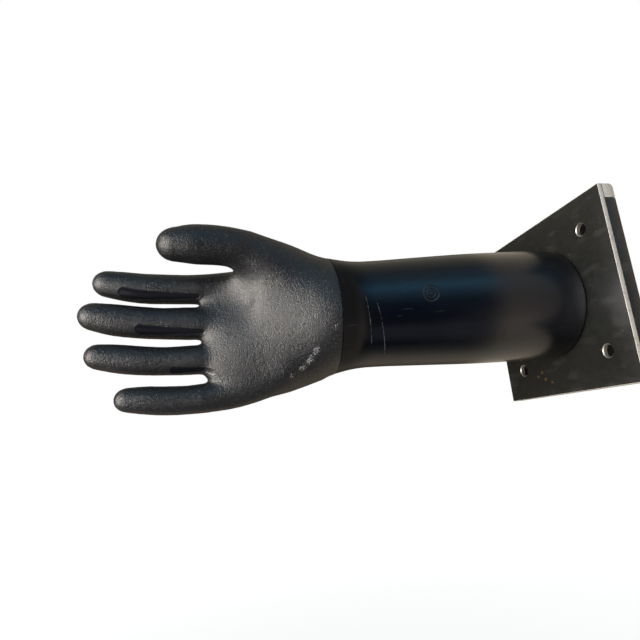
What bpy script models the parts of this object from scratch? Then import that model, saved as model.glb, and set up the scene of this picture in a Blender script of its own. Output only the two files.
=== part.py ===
"""Hand former for dipping gloves: a cast right hand on a turned forearm, drawn onto a framed square mounting plate.

Lengths below are in millimetres and are turned into metres when a mesh is made. The working frame has its
origin on the forearm's axis at the front of the mounting plate: X runs back through the plate, so the fingers
point to -X, Y runs from the palm to the back of the hand and Z runs up, from the little finger to the thumb.
"""

import math

import bmesh
import bpy
import numpy as np
from mathutils import Vector

MM = 0.001
GAP = 0.3

# Mounting plate and the frame welded behind it.
PLATE_WIDTH = 176.0
PLATE_TOP = 82.7
PLATE_BOTTOM = -85.9
PLATE_THICK = 4.0
FRAME_DEPTH = 15.0
BAR_WIDTH = 13.0
BAR_CORNER = 4.0
HOLE_Y = 59.0
HOLE_Z = 54.6
HOLE_R = 5.5
HOLE_CHAMFER = 0.7
BOSS_R = 9.5

# Forearm tube: distance from the plate and outer radius.
FOOT = -2.0
WRIST = -223.0
FOREARM = [
    (FOOT, 49.3),
    (-3.2, 50.6),
    (-8.0, 51.5),
    (-20.0, 52.1),
    (-50.0, 51.8),
    (-87.0, 51.1),
    (-125.0, 49.5),
    (-155.0, 48.1),
    (-180.0, 47.0),
    (-196.0, 46.8),
    (-207.0, 47.6),
    (-216.0, 49.1),
    (WRIST, 50.4),
]
# How far the outside of the forearm sits below the bore's axis at the wrist.
DROOP = 1.8
FOOT_BORE = 45.5
SHOULDER = -46.0
TUBE_BORE = 42.0

# Wrist joint inside the hand.
SOCKET_R = 38.5
SOCKET_END = -240.0
WRIST_SCREW_Z = 31.0

# Foot: bulkhead, tie rod, threaded socket, spigot and draw bolt.
BULKHEAD_THICK = 10.0
TIE_R = 5.0
SOCKET_SCREW_PCR = 24.0
KEY_PIN_Y = 36.0
KEY_PIN_R = 3.0
SPIGOT_R = 45.1
SPIGOT_BORE = 24.0
SPIGOT_DEPTH = 13.7
SPIGOT_SCREW_PCR = 34.0
BOLT_R = 6.0
BOLT_PITCH = 1.75
BOLT_TURNS = 6
HEX_FLATS = 19.0

# The casting: along, depth, height, half width and half thickness of each section, from the wrist outwards,
# and for the palm how square its oval is.
PALM = [
    (-190.0, 0.0, -1.5, 46.8, 46.8, 2.0),
    (-207.0, 0.0, -1.7, 47.6, 47.6, 2.0),
    (-223.0, 0.0, -1.8, 50.6, 50.2, 2.0),
    (-236.0, 0.0, -2.2, 53.6, 48.0, 2.1),
    (-250.0, 0.0, -4.4, 54.8, 42.0, 2.2),
    (-265.0, 0.0, -8.0, 55.4, 34.8, 2.2),
    (-280.0, 0.0, -11.5, 55.4, 28.0, 2.2),
    (-293.0, 0.0, -12.5, 54.0, 22.0, 2.2),
    (-303.0, 0.0, -5.0, 43.0, 17.0, 2.2),
    (-313.0, 0.0, 2.5, 32.0, 13.5, 2.2),
    (-324.0, 0.0, 8.5, 20.5, 10.0, 2.2),
    (-331.0, 0.0, 11.0, 12.0, 7.0, 2.2),
]
THENAR = [
    (-232.0, -12.0, 4.0, 30.0, 33.5),
    (-244.0, -14.0, 10.0, 30.0, 29.5),
    (-256.0, -15.0, 17.0, 28.0, 25.0),
    (-268.0, -14.0, 23.0, 25.0, 21.0),
    (-280.0, -12.0, 27.0, 20.5, 17.8),
    (-292.0, -8.0, 27.0, 15.0, 15.0),
    (-304.0, -5.0, 25.5, 12.0, 11.5),
    (-315.0, -3.0, 25.0, 8.0, 8.0),
]
THUMB = [
    (-222.0, -6.0, 8.0, 30.0, 32.0),
    (-240.0, -12.0, 20.0, 28.5, 27.0),
    (-256.0, -17.0, 30.0, 26.5, 23.5),
    (-270.0, -21.0, 38.2, 23.5, 21.0),
    (-284.0, -25.0, 45.0, 19.6, 18.5),
    (-297.0, -28.0, 49.8, 16.8, 16.5),
    (-310.0, -30.0, 52.2, 16.4, 15.5),
    (-324.0, -31.0, 53.4, 16.4, 15.0),
    (-338.0, -32.0, 53.8, 15.5, 14.4),
    (-347.0, -32.0, 53.6, 13.8, 13.2),
]
INDEX = [
    (-276.0, -4.0, 20.0, 16.5, 21.5),
    (-291.0, -2.0, 23.8, 16.4, 18.0),
    (-306.0, 0.0, 25.6, 14.9, 14.8),
    (-322.0, 0.0, 26.2, 13.0, 13.0),
    (-338.0, 0.0, 26.4, 12.4, 12.4),
    (-357.0, 0.0, 27.2, 12.5, 11.8),
    (-376.0, 0.0, 28.5, 12.5, 11.4),
    (-391.0, 0.0, 30.9, 12.0, 10.9),
    (-402.0, 0.0, 33.0, 11.0, 10.1),
]
MIDDLE = [
    (-274.0, -5.0, -9.0, 14.5, 21.5),
    (-290.0, -2.0, -5.6, 14.4, 18.2),
    (-306.0, 0.0, -4.3, 13.8, 14.8),
    (-322.0, 0.0, -3.4, 13.4, 13.4),
    (-339.0, 0.0, -2.6, 13.6, 12.8),
    (-360.0, 0.0, -1.7, 13.0, 12.1),
    (-381.0, 0.0, 0.5, 13.1, 11.7),
    (-400.0, 0.0, 3.6, 12.8, 11.3),
    (-412.5, 0.0, 6.3, 11.4, 10.5),
]
RING = [
    (-270.0, -4.0, -34.5, 14.0, 21.0),
    (-287.0, -2.0, -33.2, 13.8, 17.8),
    (-303.0, 0.0, -32.3, 12.8, 14.3),
    (-322.0, 0.0, -32.6, 12.0, 12.8),
    (-340.0, 0.0, -32.8, 12.0, 12.1),
    (-360.0, 0.0, -32.4, 11.5, 11.3),
    (-379.0, 0.0, -30.7, 11.7, 11.0),
    (-396.0, 0.0, -28.2, 11.5, 10.6),
    (-409.0, 0.0, -26.0, 10.3, 9.7),
]
LITTLE = [
    (-262.0, -5.0, -46.0, 17.0, 23.0),
    (-280.0, -2.0, -52.7, 15.1, 17.5),
    (-297.0, 0.0, -59.3, 12.8, 13.8),
    (-308.0, 0.0, -62.1, 12.0, 12.7),
    (-323.0, 0.0, -63.4, 12.0, 11.9),
    (-341.0, 0.0, -64.3, 11.5, 11.0),
    (-360.0, 0.0, -63.7, 11.5, 10.6),
    (-376.0, 0.0, -62.1, 11.0, 10.1),
    (-388.0, 0.0, -61.0, 9.8, 9.1),
]
# The hollow of the casting, from the wrist socket into the palm.
HOLLOW = [
    (-236.0, 0.0, 0.0, 24.0, 24.0),
    (-256.0, 0.0, 0.0, 25.0, 24.0),
    (-272.0, 0.0, -4.0, 31.0, 20.0),
    (-288.0, 0.0, -8.0, 33.0, 15.0),
    (-300.0, 0.0, -9.0, 26.0, 10.0),
]
SKIN_VOXEL = 1.2
SKIN_SMOOTHING = 26
SKIN_FACETS = 0.026

BLACK_BLASTED = ("coating_blasted", (0.045, 0.046, 0.050), 0.42, 0.35)
BLACK_POLISHED = ("coating_polished", (0.018, 0.020, 0.026), 0.12, 0.35)
MILL_STEEL = ("mill_steel", (0.085, 0.082, 0.072), 0.55, 0.85)
BRIGHT_STEEL = ("bright_steel", (0.55, 0.54, 0.52), 0.32, 1.0)
ZINC_STEEL = ("zinc_steel", (0.42, 0.43, 0.45), 0.38, 1.0)
CAST_ALLOY = ("cast_alloy", (0.50, 0.51, 0.52), 0.45, 1.0)
BRONZE = ("bronze", (0.45, 0.30, 0.14), 0.35, 1.0)
RUBBER = ("rubber", (0.020, 0.020, 0.021), 0.75, 0.0)


def clear_scene():
    for obj in list(bpy.data.objects):
        bpy.data.objects.remove(obj, do_unlink=True)


def material(spec):
    """The named Principled material, made once."""
    name, color, roughness, metallic = spec
    mat = bpy.data.materials.get(name)
    if mat is None:
        mat = bpy.data.materials.new(name)
        mat.use_nodes = True
        shader = mat.node_tree.nodes["Principled BSDF"]
        shader.inputs["Base Color"].default_value = (*color, 1.0)
        shader.inputs["Roughness"].default_value = roughness
        shader.inputs["Metallic"].default_value = metallic
        mat.diffuse_color = (*color, 1.0)
    return mat


def empty(name, parent=None, at=(0.0, 0.0, 0.0)):
    obj = bpy.data.objects.new(name, None)
    obj.empty_display_size = 0.02
    obj.location = Vector(at) * MM
    obj.parent = parent
    bpy.context.scene.collection.objects.link(obj)
    return obj


def to_object(name, bm, spec, parent, at=(0.0, 0.0, 0.0), sharp=30.0):
    """Links a bmesh, drawn in millimetres, as one object in metres."""
    bmesh.ops.recalc_face_normals(bm, faces=bm.faces)
    bmesh.ops.scale(bm, vec=(MM, MM, MM), verts=bm.verts)
    mesh = bpy.data.meshes.new(name)
    bm.to_mesh(mesh)
    bm.free()
    mesh.shade_smooth()
    mesh.set_sharp_from_angle(angle=math.radians(sharp))
    if spec is not None:
        mesh.materials.append(material(spec))
    obj = bpy.data.objects.new(name, mesh)
    obj.location = Vector(at) * MM
    obj.parent = parent
    bpy.context.scene.collection.objects.link(obj)
    return obj


def copy_of(source, name, at):
    """Another object that shares the source's mesh."""
    obj = bpy.data.objects.new(name, source.data)
    obj.location = Vector(at) * MM
    obj.parent = source.parent
    bpy.context.scene.collection.objects.link(obj)
    return obj


def cut(obj, cutter):
    cutter.hide_render = True
    cutter.display_type = "WIRE"
    boolean = obj.modifiers.new("cut_" + cutter.name, "BOOLEAN")
    boolean.operation = "DIFFERENCE"
    boolean.solver = "EXACT"
    boolean.object = cutter


def hex_reach(angle, flats):
    """Distance from a hexagon's centre to its edge in the direction of an angle."""
    sixth = math.pi / 3
    return flats / 2 / math.cos((angle + sixth / 2) % sixth - sixth / 2)


def add_turned(bm, profile, around, bored=False, centre=(0.0, 0.0), start=0.0):
    """Turns a profile of (along, radius) points about X; a third value of "hex" makes that ring a hexagon."""
    rings = []
    for point in profile:
        ring = []
        for k in range(around):
            angle = start + 2 * math.pi * k / around
            reach = point[1]
            if len(point) > 2:
                reach = hex_reach(angle, 2 * point[1])
            y = centre[0] + reach * math.cos(angle)
            z = centre[1] + reach * math.sin(angle)
            ring.append(bm.verts.new((point[0], y, z)))
        rings.append(ring)
    pairs = list(zip(rings, rings[1:]))
    if bored:
        pairs.append((rings[-1], rings[0]))
    else:
        bm.faces.new(rings[0])
        bm.faces.new(list(reversed(rings[-1])))
    for near, far in pairs:
        for k in range(around):
            step = (k + 1) % around
            bm.faces.new((near[k], far[k], far[step], near[step]))


def turned(name, profile, spec, parent, around=48, bored=False, at=(0.0, 0.0, 0.0)):
    bm = bmesh.new()
    add_turned(bm, profile, around, bored)
    return to_object(name, bm, spec, parent, at)


def drill(name, parent, holes, around=24):
    """A cutter of parallel round tools, each (y, z, profile)."""
    bm = bmesh.new()
    for y, z, profile in holes:
        add_turned(bm, profile, around, centre=(y, z))
    return to_object(name, bm, None, parent)


def extruded(name, outline, length, spec, parent, at):
    """A closed (x, z) outline drawn along Y, centred on its placing point."""
    bm = bmesh.new()
    near = [bm.verts.new((x, -length / 2, z)) for x, z in outline]
    face = bm.faces.new(near)
    grown = bmesh.ops.extrude_face_region(bm, geom=[face])
    moved = [item for item in grown["geom"] if isinstance(item, bmesh.types.BMVert)]
    bmesh.ops.translate(bm, vec=(0.0, length, 0.0), verts=moved)
    return to_object(name, bm, spec, parent, at)


def soften(obj, width=0.5, segments=1):
    bevel = obj.modifiers.new("edges", "BEVEL")
    bevel.width = width * MM
    bevel.segments = segments
    bevel.limit_method = "ANGLE"
    bevel.angle_limit = math.radians(50)


def on_circle(radius, count, start_degrees):
    angles = [math.radians(start_degrees + 360.0 * k / count) for k in range(count)]
    return [(radius * math.cos(a), radius * math.sin(a)) for a in angles]


def flow(stations, count):
    """Evenly spaced sections along a smooth curve through the stations."""
    points = np.array(stations)
    run = np.linalg.norm(np.diff(points[:, :3], axis=0), axis=1)
    reach = np.concatenate(([0.0], np.cumsum(run)))
    slope = np.gradient(points, reach, axis=0)
    rows = []
    for distance in np.linspace(0.0, reach[-1], count):
        i = min(int(np.searchsorted(reach, distance, side="right")) - 1, len(run) - 1)
        t = (distance - reach[i]) / run[i]
        rows.append(
            (2 * t**3 - 3 * t**2 + 1) * points[i]
            + (t**3 - 2 * t**2 + t) * run[i] * slope[i]
            + (3 * t**2 - 2 * t**3) * points[i + 1]
            + (t**3 - t**2) * run[i] * slope[i + 1]
        )
    return np.array(rows)


def domed(rows, steps=7):
    """Adds the round end of a finger to its sections."""
    last = rows[-1]
    ahead = rows[-1, :3] - rows[-2, :3]
    ahead = ahead / np.linalg.norm(ahead)
    extra = []
    for k in range(1, steps + 1):
        angle = math.pi / 2 * k / (steps + 0.35)
        centre = last[:3] + ahead * last[3] * 1.12 * math.sin(angle)
        extra.append((*centre, last[3] * math.cos(angle), last[4] * math.cos(angle)))
    return np.vstack((rows, extra))


def add_limb(bm, stations, count=36, around=32, tip=True):
    """A closed body through oval sections; a sixth value above 2 squares a section's oval."""
    rows = flow(stations, count)
    if tip:
        rows = domed(rows)
    ahead = np.gradient(rows[:, :3], axis=0)
    rings = []
    for row, direction in zip(rows, ahead):
        power = row[5] if len(row) > 5 else 2.0
        along = Vector(direction).normalized()
        deep = Vector((0.0, 1.0, 0.0))
        deep = (deep - along * deep.dot(along)).normalized()
        wide = along.cross(deep)
        ring = []
        for k in range(around):
            angle = 2 * math.pi * k / around
            u = math.copysign(abs(math.cos(angle)) ** (2 / power), math.cos(angle))
            v = math.copysign(abs(math.sin(angle)) ** (2 / power), math.sin(angle))
            ring.append(bm.verts.new(Vector(row[:3]) + wide * (row[3] * u) + deep * (row[4] * v)))
        rings.append(ring)
    for near, far in zip(rings, rings[1:]):
        for k in range(around):
            step = (k + 1) % around
            bm.faces.new((near[k], near[step], far[step], far[k]))
    bm.faces.new(list(reversed(rings[0])))
    bm.faces.new(rings[-1])


def hand_shell(parent):
    """The cast hand: palm and digits run into one skin, cut square at the wrist and hollow inside."""
    bm = bmesh.new()
    add_limb(bm, PALM, 44, 64, tip=False)
    add_limb(bm, THENAR, 24, 48, tip=False)
    for digit in (THUMB, INDEX, MIDDLE, RING, LITTLE):
        add_limb(bm, digit)
    hand = to_object("hand_shell", bm, BLACK_BLASTED, parent, sharp=60)
    skin = hand.modifiers.new("skin", "REMESH")
    skin.mode = "VOXEL"
    skin.voxel_size = SKIN_VOXEL * MM
    skin.use_smooth_shade = True
    blend = hand.modifiers.new("blend", "SMOOTH")
    blend.factor = 0.5
    blend.iterations = SKIN_SMOOTHING
    facets = hand.modifiers.new("facets", "DECIMATE")
    facets.ratio = SKIN_FACETS

    edge = WRIST - GAP
    cut(hand, turned("cut_wrist", [(-150.0, 80.0), (edge, 80.0)], None, parent, 16))
    tool = bmesh.new()
    add_limb(tool, HOLLOW, 10, 24, tip=False)
    cut(hand, to_object("cut_hollow", tool, None, parent))
    cut(hand, turned("cut_socket", [(edge + 5, SOCKET_R), (SOCKET_END, SOCKET_R)], None, parent))
    hole = [(SOCKET_END + 3, 2.6), (SOCKET_END - 15, 2.6)]
    screws = [(0.0, WRIST_SCREW_Z, hole), (0.0, -WRIST_SCREW_Z, hole)]
    cut(hand, drill("cut_wrist_screws", parent, screws, 12))


def wrist_joint(parent):
    """The plug that lines up hand and forearm, and its two screws into the casting."""
    web = SOCKET_END + GAP
    profile = [
        (web, TIE_R + 0.15),
        (web, SOCKET_R - GAP),
        (WRIST - GAP + 0.15, SOCKET_R - GAP),
        (WRIST - GAP + 0.15, TUBE_BORE - GAP),
        (WRIST + 18, TUBE_BORE - GAP),
        (WRIST + 18, 35.5),
        (web + 10, 35.5),
        (web + 10, TIE_R + 0.15),
    ]
    plug = turned("wrist_plug", profile, CAST_ALLOY, parent, 40, bored=True)
    hole = [(web - 3, 2.8), (web + 13, 2.8)]
    screws = [(0.0, WRIST_SCREW_Z, hole), (0.0, -WRIST_SCREW_Z, hole)]
    cut(plug, drill("cut_plug_screws", parent, screws, 12))
    shape = [(-24.0, 2.4), (0.0, 2.4), (0.0, 4.25), (4.5, 4.25), (5.0, 3.8)]
    at = (web + 10 + GAP, 0.0, WRIST_SCREW_Z)
    upper = turned("wrist_screw_upper", shape, ZINC_STEEL, parent, 12, at=at)
    copy_of(upper, "wrist_screw_lower", (at[0], 0.0, -WRIST_SCREW_Z))


def forearm_tube(parent):
    """The turned and polished forearm: swelling to the foot, with a stepped bore."""
    inside = [
        (WRIST, TUBE_BORE),
        (SHOULDER - 4, TUBE_BORE),
        (SHOULDER - 4, 43.0),
        (SHOULDER, 43.0),
        (SHOULDER, FOOT_BORE),
        (FOOT, FOOT_BORE),
    ]
    tube = turned("forearm_tube", FOREARM + inside, BLACK_POLISHED, parent, 72, bored=True)
    for vertex in tube.data.vertices:
        along = vertex.co.x / MM
        if math.hypot(vertex.co.y, vertex.co.z) / MM > FOOT_BORE + 1:
            vertex.co.z -= DROOP * MM * (along / WRIST) ** 2


def tie_rod(parent):
    """The rod that clamps hand, forearm and bulkhead together, with its washer and nut at the foot."""
    face = SHOULDER + GAP + BULKHEAD_THICK
    rod = [(SOCKET_END, 4.4), (SOCKET_END + 0.8, TIE_R), (face + 12, TIE_R), (face + 12.8, 4.4)]
    turned("tie_rod", rod, ZINC_STEEL, parent, 16)
    ring = [(face + GAP, 5.3), (face + GAP, 10.0), (face + 2.3, 10.0), (face + 2.3, 5.3)]
    turned("tie_rod_washer", ring, ZINC_STEEL, parent, 24, bored=True)
    low = face + 2.6
    nut = [(low, 5.15), (low, 8.0), (low + 0.6, 8.0, "hex"), (low + 8.0, 8.0, "hex"), (low + 8.0, 5.15)]
    turned("tie_rod_nut", nut, ZINC_STEEL, parent, 24, bored=True)


def foot_bulkhead(parent):
    """The disc against the forearm's inner shoulder, with holes for the rod, the socket screws and the key pins."""
    low = SHOULDER + GAP
    high = low + BULKHEAD_THICK
    outer = [(low, 5.3), (low, FOOT_BORE - GAP), (high, FOOT_BORE - GAP), (high, 5.3)]
    disc = turned("foot_bulkhead", outer, CAST_ALLOY, parent, 48, bored=True)
    tapped = [(low - 3, 2.6), (high + 3, 2.6)]
    keyed = [(low - 3, KEY_PIN_R + 0.1), (high + 3, KEY_PIN_R + 0.1)]
    holes = [(y, z, tapped) for y, z in on_circle(SOCKET_SCREW_PCR, 4, 45)]
    holes += [(y, 0.0, keyed) for y in (-KEY_PIN_Y, KEY_PIN_Y)]
    cut(disc, drill("cut_bulkhead", parent, holes, 12))


def draw_socket(parent):
    """The flanged threaded bush at the foot that the draw bolt pulls on, and its four screws."""
    low = SHOULDER + 2 * GAP + BULKHEAD_THICK
    profile = [
        (low, 12.0),
        (low, 30.0),
        (low + 6, 30.0),
        (low + 6, 16.5),
        (-6.8, 16.5),
        (-6.0, 15.7),
        (-6.0, BOLT_R + 0.15),
        (-22.0, BOLT_R + 0.15),
        (-22.0, 12.0),
    ]
    bush = turned("draw_socket", profile, BRIGHT_STEEL, parent, 36, bored=True)
    clear = [(low - 3, 2.8), (low + 9, 2.8)]
    spots = on_circle(SOCKET_SCREW_PCR, 4, 45)
    cut(bush, drill("cut_socket_screws", parent, [(y, z, clear) for y, z in spots], 10))
    shape = [(-14.0, 2.4), (0.0, 2.4), (0.0, 4.25), (4.5, 4.25), (5.0, 3.8)]
    first = None
    for number, (y, z) in enumerate(spots, 1):
        name = f"socket_screw_{number}"
        at = (low + 6 + GAP, y, z)
        if first is None:
            first = turned(name, shape, ZINC_STEEL, parent, 12, at=at)
        else:
            copy_of(first, name, at)


def locating_spigot(parent):
    """The ring on the plate that centres the forearm's foot, its screws, and the two pins that stop it turning."""
    profile = [
        (-SPIGOT_DEPTH, SPIGOT_BORE),
        (-SPIGOT_DEPTH, SPIGOT_R - 1.2),
        (-SPIGOT_DEPTH + 1.2, SPIGOT_R),
        (-GAP, SPIGOT_R),
        (-GAP, SPIGOT_BORE),
    ]
    ring = turned("locating_spigot", profile, CAST_ALLOY, parent, 48, bored=True)
    spots = on_circle(SPIGOT_SCREW_PCR, 4, 45)
    tapped = [(-10.0, 2.6), (3.0, 2.6)]
    keyed = [(-SPIGOT_DEPTH - 3, KEY_PIN_R + 0.1), (3.0, KEY_PIN_R + 0.1)]
    holes = [(y, z, tapped) for y, z in spots]
    holes += [(y, 0.0, keyed) for y in (-KEY_PIN_Y, KEY_PIN_Y)]
    cut(ring, drill("cut_spigot", parent, holes, 12))
    shape = [(-9.0, 2.0), (-8.6, 2.4), (1.2, 2.4), (3.6, 4.8), (3.8, 4.8)]
    first = None
    for number, (y, z) in enumerate(spots, 1):
        name = f"spigot_screw_{number}"
        if first is None:
            first = turned(name, shape, ZINC_STEEL, parent, 12, at=(0.0, y, z))
        else:
            copy_of(first, name, (0.0, y, z))
    pin = [(-52.0, 2.4), (-51.4, KEY_PIN_R), (-1.2, KEY_PIN_R), (-0.6, 2.4)]
    near = turned("key_pin_near", pin, BRIGHT_STEEL, parent, 12, at=(0.0, -KEY_PIN_Y, 0.0))
    copy_of(near, "key_pin_far", (0.0, KEY_PIN_Y, 0.0))


def foot_gasket(parent):
    low, high = FOOT + GAP, -GAP
    profile = [(low, 45.9), (low, 48.6), (high, 48.6), (high, 45.9)]
    turned("foot_gasket", profile, RUBBER, parent, 48, bored=True)


def face_plate(parent):
    """The square plate with its four corner holes, the bolt hole and the countersunk spigot holes."""
    high = PLATE_TOP - PLATE_BOTTOM
    outline = [(0.0, -high / 2), (PLATE_THICK, -high / 2), (PLATE_THICK, high / 2), (0.0, high / 2)]
    middle = (PLATE_TOP + PLATE_BOTTOM) / 2
    plate = extruded("face_plate", outline, PLATE_WIDTH, MILL_STEEL, parent, (0.0, 0.0, middle))
    soften(plate, 0.4)
    mount = [(-2.0, HOLE_R + HOLE_CHAMFER + 2.0), (HOLE_CHAMFER, HOLE_R), (PLATE_THICK + 2, HOLE_R)]
    sunk = [(-2.0, 2.8), (1.0, 2.8), (3.9, 5.7), (PLATE_THICK + 2, 5.7)]
    bolt = [(-2.0, BOLT_R + 0.4), (PLATE_THICK + 2, BOLT_R + 0.4)]
    corners = [(y, z, mount) for y, z in corner_spots()]
    cut(plate, drill("cut_mount_holes", parent, corners, 24))
    small = [(y, z, sunk) for y, z in on_circle(SPIGOT_SCREW_PCR, 4, 45)]
    cut(plate, drill("cut_plate_middle", parent, small + [(0.0, 0.0, bolt)], 16))


def corner_spots():
    """Centres of the four corner holes."""
    middle = (PLATE_TOP + PLATE_BOTTOM) / 2
    return [(y, middle + z) for y in (-HOLE_Y, HOLE_Y) for z in (-HOLE_Z, HOLE_Z)]


def spacer_bosses(parent):
    """Short tubes welded behind the corner holes, as deep as the frame, which the fixing bolts pass through."""
    low, high = PLATE_THICK + GAP, FRAME_DEPTH
    profile = [(low, HOLE_R), (low, BOSS_R), (high - 0.5, BOSS_R), (high, BOSS_R - 0.5), (high, HOLE_R)]
    first = None
    for number, (y, z) in enumerate(corner_spots(), 1):
        name = f"spacer_boss_{number}"
        if first is None:
            first = turned(name, profile, MILL_STEEL, parent, 32, bored=True, at=(0.0, y, z))
        else:
            copy_of(first, name, (0.0, y, z))


def frame_bars(parent):
    """The bars welded behind the plate: two full-width ones with a rounded outer corner, two between them."""
    low, high = PLATE_THICK + GAP, FRAME_DEPTH
    middle = (low + high) / 2
    deep = (high - low) / 2
    half = BAR_WIDTH / 2
    turn = [math.radians(18 * k) for k in range(6)]
    rounded = [(deep - BAR_CORNER * (1 - math.sin(a)), half - BAR_CORNER * (1 - math.cos(a))) for a in turn]
    outline = [(-deep, -half), (deep, -half)] + list(reversed(rounded)) + [(-deep, half)]
    top = (middle, 0.0, PLATE_TOP - half)
    extruded("frame_bar_top", outline, PLATE_WIDTH, MILL_STEEL, parent, top)
    flipped = [(x, -z) for x, z in reversed(outline)]
    bottom = (middle, 0.0, PLATE_BOTTOM + half)
    extruded("frame_bar_bottom", flipped, PLATE_WIDTH, MILL_STEEL, parent, bottom)
    tall = (PLATE_TOP - PLATE_BOTTOM) / 2 - BAR_WIDTH - GAP
    post = [(-deep, -tall), (deep, -tall), (deep, tall), (-deep, tall)]
    centre_z = (PLATE_TOP + PLATE_BOTTOM) / 2
    side = PLATE_WIDTH / 2 - half
    for name, y in (("frame_bar_near", -side), ("frame_bar_far", side)):
        soften(extruded(name, post, BAR_WIDTH, MILL_STEEL, parent, (middle, y, centre_z)), 0.6)


def draw_bolt(parent, plate_parent):
    """The captive bolt in the middle of the plate, its collar and pin, and the washer under its head."""
    head = PLATE_THICK + 2.6
    flats = HEX_FLATS / 2
    profile = [
        (-21.0, BOLT_R - 1.0),
        (-20.0, BOLT_R),
        (head, BOLT_R),
        (head, flats, "hex"),
        (head + 6.9, flats, "hex"),
        (head + 7.5, flats - 0.6),
    ]
    bolt = turned("draw_bolt", profile, BRIGHT_STEEL, parent, 24)
    pin_x = -2.9
    across = bmesh.new()
    add_turned(across, [(-11.0, 1.35), (11.0, 1.35)], 12)
    bmesh.ops.rotate(across, verts=across.verts, matrix=quarter_turn())
    cutter = to_object("cut_pin_hole", across, None, parent, (pin_x, 0.0, 0.0))
    cut(bolt, cutter)
    outer = [(-5.4, BOLT_R + 0.1), (-5.4, 11.0), (-0.4, 11.0), (-0.4, BOLT_R + 0.1)]
    collar = turned("captive_collar", outer, BRONZE, parent, 32, bored=True)
    wide = bmesh.new()
    add_turned(wide, [(-15.0, 1.35), (15.0, 1.35)], 12)
    bmesh.ops.rotate(wide, verts=wide.verts, matrix=quarter_turn())
    cut(collar, to_object("cut_collar_hole", wide, None, parent, (pin_x, 0.0, 0.0)))
    pin = bmesh.new()
    add_turned(pin, [(-10.4, 1.2), (10.4, 1.2)], 12)
    bmesh.ops.rotate(pin, verts=pin.verts, matrix=quarter_turn())
    to_object("collar_pin", pin, BRIGHT_STEEL, parent, (pin_x, 0.0, 0.0))
    low = PLATE_THICK + GAP
    ring = [(low, BOLT_R + 0.4), (low, 12.0), (low + 2.0, 12.0), (low + 2.0, BOLT_R + 0.4)]
    turned("bolt_washer", ring, ZINC_STEEL, plate_parent, 32, bored=True)


def quarter_turn():
    """Turns a piece drawn along X to lie along Y."""
    return Vector((1.0, 0.0, 0.0)).rotation_difference(Vector((0.0, 1.0, 0.0))).to_matrix()


def build():
    clear_scene()
    axis_height = BAR_WIDTH / 2 - PLATE_BOTTOM - BAR_WIDTH
    root = empty("mounting", at=(-FRAME_DEPTH, 0.0, axis_height))
    former = empty("former_slide", root)
    spin = empty("draw_bolt_axis", root)
    hand_shell(former)
    forearm_tube(former)
    wrist_joint(former)
    tie_rod(former)
    foot_bulkhead(former)
    draw_socket(former)
    locating_spigot(root)
    foot_gasket(root)
    face_plate(root)
    spacer_bosses(root)
    frame_bars(root)
    draw_bolt(spin, root)


build()
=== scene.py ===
"""Finished look of the hand former for dipping gloves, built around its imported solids.

Lengths are millimetres in the former's own frame: the origin is on the forearm's axis at the front face of the
plate, X runs back through the plate, Y runs from the palm to the back of the hand and Z runs up to the thumb.
The solids' boxes say where that frame sits in the row, and every mesh is made in it and then moved into place.
"""

import math

import bmesh
import bpy
import numpy as np
from mathutils import Matrix, Vector, noise


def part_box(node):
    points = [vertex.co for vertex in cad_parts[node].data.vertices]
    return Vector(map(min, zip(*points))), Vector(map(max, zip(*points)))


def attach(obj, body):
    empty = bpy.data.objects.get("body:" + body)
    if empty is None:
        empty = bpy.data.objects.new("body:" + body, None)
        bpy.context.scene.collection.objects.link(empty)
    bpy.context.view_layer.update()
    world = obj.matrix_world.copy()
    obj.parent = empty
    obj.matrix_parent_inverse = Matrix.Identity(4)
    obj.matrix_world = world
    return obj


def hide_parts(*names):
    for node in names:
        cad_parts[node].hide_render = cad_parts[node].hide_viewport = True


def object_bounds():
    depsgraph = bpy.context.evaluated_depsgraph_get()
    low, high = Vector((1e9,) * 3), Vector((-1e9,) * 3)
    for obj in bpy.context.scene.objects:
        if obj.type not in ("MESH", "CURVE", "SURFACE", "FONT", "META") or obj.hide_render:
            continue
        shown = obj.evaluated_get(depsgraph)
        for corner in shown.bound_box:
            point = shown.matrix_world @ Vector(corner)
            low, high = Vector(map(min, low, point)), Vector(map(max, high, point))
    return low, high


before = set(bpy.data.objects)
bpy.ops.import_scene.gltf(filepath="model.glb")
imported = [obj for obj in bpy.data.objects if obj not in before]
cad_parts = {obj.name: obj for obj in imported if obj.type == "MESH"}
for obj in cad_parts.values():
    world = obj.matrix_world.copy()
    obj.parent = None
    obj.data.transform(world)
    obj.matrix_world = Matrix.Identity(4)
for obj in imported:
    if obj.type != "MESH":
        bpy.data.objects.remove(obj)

MM = 0.001
GAP = 0.3
CAD_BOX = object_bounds()

# Where the former's own frame sits in the row.
PLATE_LOW, PLATE_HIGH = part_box("face_plate")
TUBE_LOW, TUBE_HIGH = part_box("forearm_tube")
BOLT_LOW, BOLT_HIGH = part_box("draw_bolt")
ORIGIN = Vector((PLATE_LOW.x, 0.0, (BOLT_LOW.z + BOLT_HIGH.z) / 2))
PLATE_WIDTH = (PLATE_HIGH.y - PLATE_LOW.y) / MM
PLATE_TOP = (PLATE_HIGH.z - ORIGIN.z) / MM
PLATE_BOTTOM = (PLATE_LOW.z - ORIGIN.z) / MM
PLATE_THICK = (PLATE_HIGH.x - PLATE_LOW.x) / MM
FRAME_DEPTH = (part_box("frame_bar_top")[1].x - ORIGIN.x) / MM
WRIST = (TUBE_LOW.x - ORIGIN.x) / MM
FOOT = (TUBE_HIGH.x - ORIGIN.x) / MM

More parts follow.
